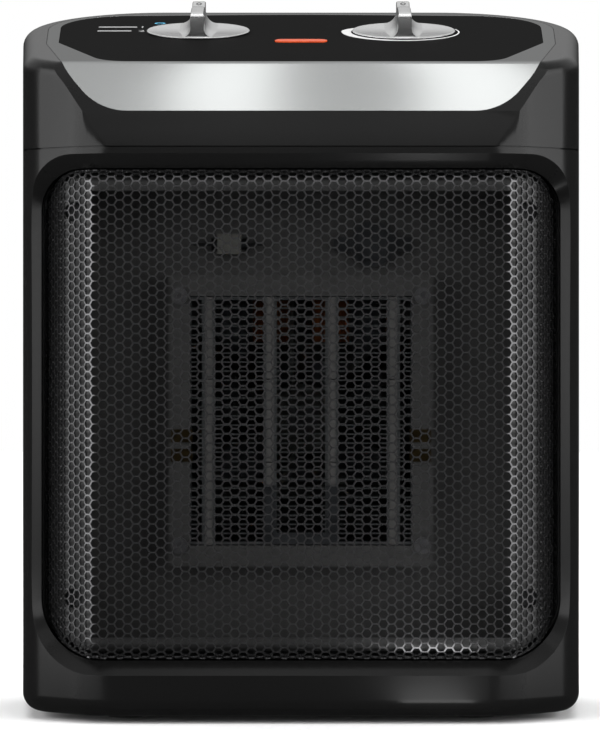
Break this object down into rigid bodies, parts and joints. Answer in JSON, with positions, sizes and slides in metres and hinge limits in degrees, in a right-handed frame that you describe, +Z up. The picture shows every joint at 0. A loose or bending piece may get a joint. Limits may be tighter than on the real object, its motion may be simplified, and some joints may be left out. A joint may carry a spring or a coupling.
{
  "type": "ceramic space heater",
  "caption": "Upright compact ceramic fan heater with a bent hexagon-mesh outlet, a sloping control panel in a satin trim, and turning knobs.",
  "frame": {"origin": "on the floor under the middle of the casing's width and depth", "axes": "+Z up, -Y out of the front outlet grille, +X to the right as seen from the front"},
  "size_m": [0.1912, 0.13, 0.2431],
  "materials": {
    "casing_black": "satin",
    "base_black": "matte",
    "foot_rubber": "matte",
    "grille_black": "satin",
    "frame_grey": "matte",
    "screw_steel": "satin",
    "trim_satin": "satin",
    "panel_gloss": "gloss",
    "lens_red": "gloss",
    "lamp_glass": "gloss",
    "holder_white": "matte",
    "holder_black": "matte",
    "brass_plain": "satin",
    "zinc_sheet": "satin",
    "ceramic_grey": "matte",
    "fin_aluminium": "satin",
    "lamination_steel": "matte",
    "copper_wire": "satin",
    "lead_rubber": "matte",
    "knob_satin": "satin",
    "dot_black": "gloss"
  },
  "bodies": {
    "heater": {"front_housing": "casing_black", "rear_housing": "casing_black", "top_hood": "casing_black", "base_plate": "base_black", "rubber_feet": "foot_rubber", "intake_grille": "base_black", "front_grille": "grille_black", "grille_frame": "frame_grey", "grille_screws": "screw_steel", "trim_ring": "trim_satin", "control_panel": "panel_gloss", "pilot_lens": "lens_red", "pilot_lamp": "lamp_glass", "lamp_holder": "holder_white", "mode_switch": "holder_black", "thermostat": "holder_white", "panel_nuts": "brass_plain", "control_bracket": "zinc_sheet", "bracket_screws": "screw_steel", "heater_frame": "holder_black", "ceramic_strips": "ceramic_grey", "electrodes": "fin_aluminium", "terminal_tabs": "brass_plain", "fin_packs": "fin_aluminium", "electrode_bridge": "zinc_sheet", "heater_screws": "screw_steel", "heater_duct": "holder_black", "duct_screws": "screw_steel", "thermal_cutout": "zinc_sheet", "thermal_fuse": "zinc_sheet", "fuse_clip": "holder_white", "motor_stator": "lamination_steel", "coil_bobbin": "holder_white", "motor_coil": "copper_wire", "bearing_brackets": "zinc_sheet", "bearing_bushes": "brass_plain", "motor_mount": "holder_black", "motor_screws": "screw_steel", "motor_nuts": "screw_steel", "mount_screws": "screw_steel", "case_screws": "screw_steel", "hood_screws": "screw_steel", "cord_bushing": "foot_rubber", "terminal_block": "holder_white", "wiring": "lead_rubber"},
    "mode_control": {"mode_knob": "knob_satin", "mode_knob_dot": "dot_black", "mode_shaft": "brass_plain"},
    "thermostat_control": {"thermostat_knob": "knob_satin", "thermostat_knob_dot": "dot_black", "thermostat_shaft": "brass_plain"},
    "fan": {"fan_impeller": "holder_white", "fan_clip": "screw_steel", "motor_shaft": "screw_steel", "motor_rotor": "lamination_steel"}
  },
  "joints": [
    {"name": "mode_knob_turn", "type": "hinge", "parent": "heater", "child": "mode_control", "pos_m": [-0.0353, 0.0135, 0.23087], "axis": [0, -0.2233, 0.9748], "range_deg": [0, 90]},
    {"name": "thermostat_knob_turn", "type": "hinge", "parent": "heater", "child": "thermostat_control", "pos_m": [0.0353, 0.0135, 0.23087], "axis": [0, -0.2233, 0.9748], "range_deg": [-285, 0]},
    {"name": "fan_spin", "type": "hinge", "parent": "heater", "child": "fan", "pos_m": [0, 0.0065, 0.098], "axis": [0, 1, 0], "continuous": true}
  ]
}
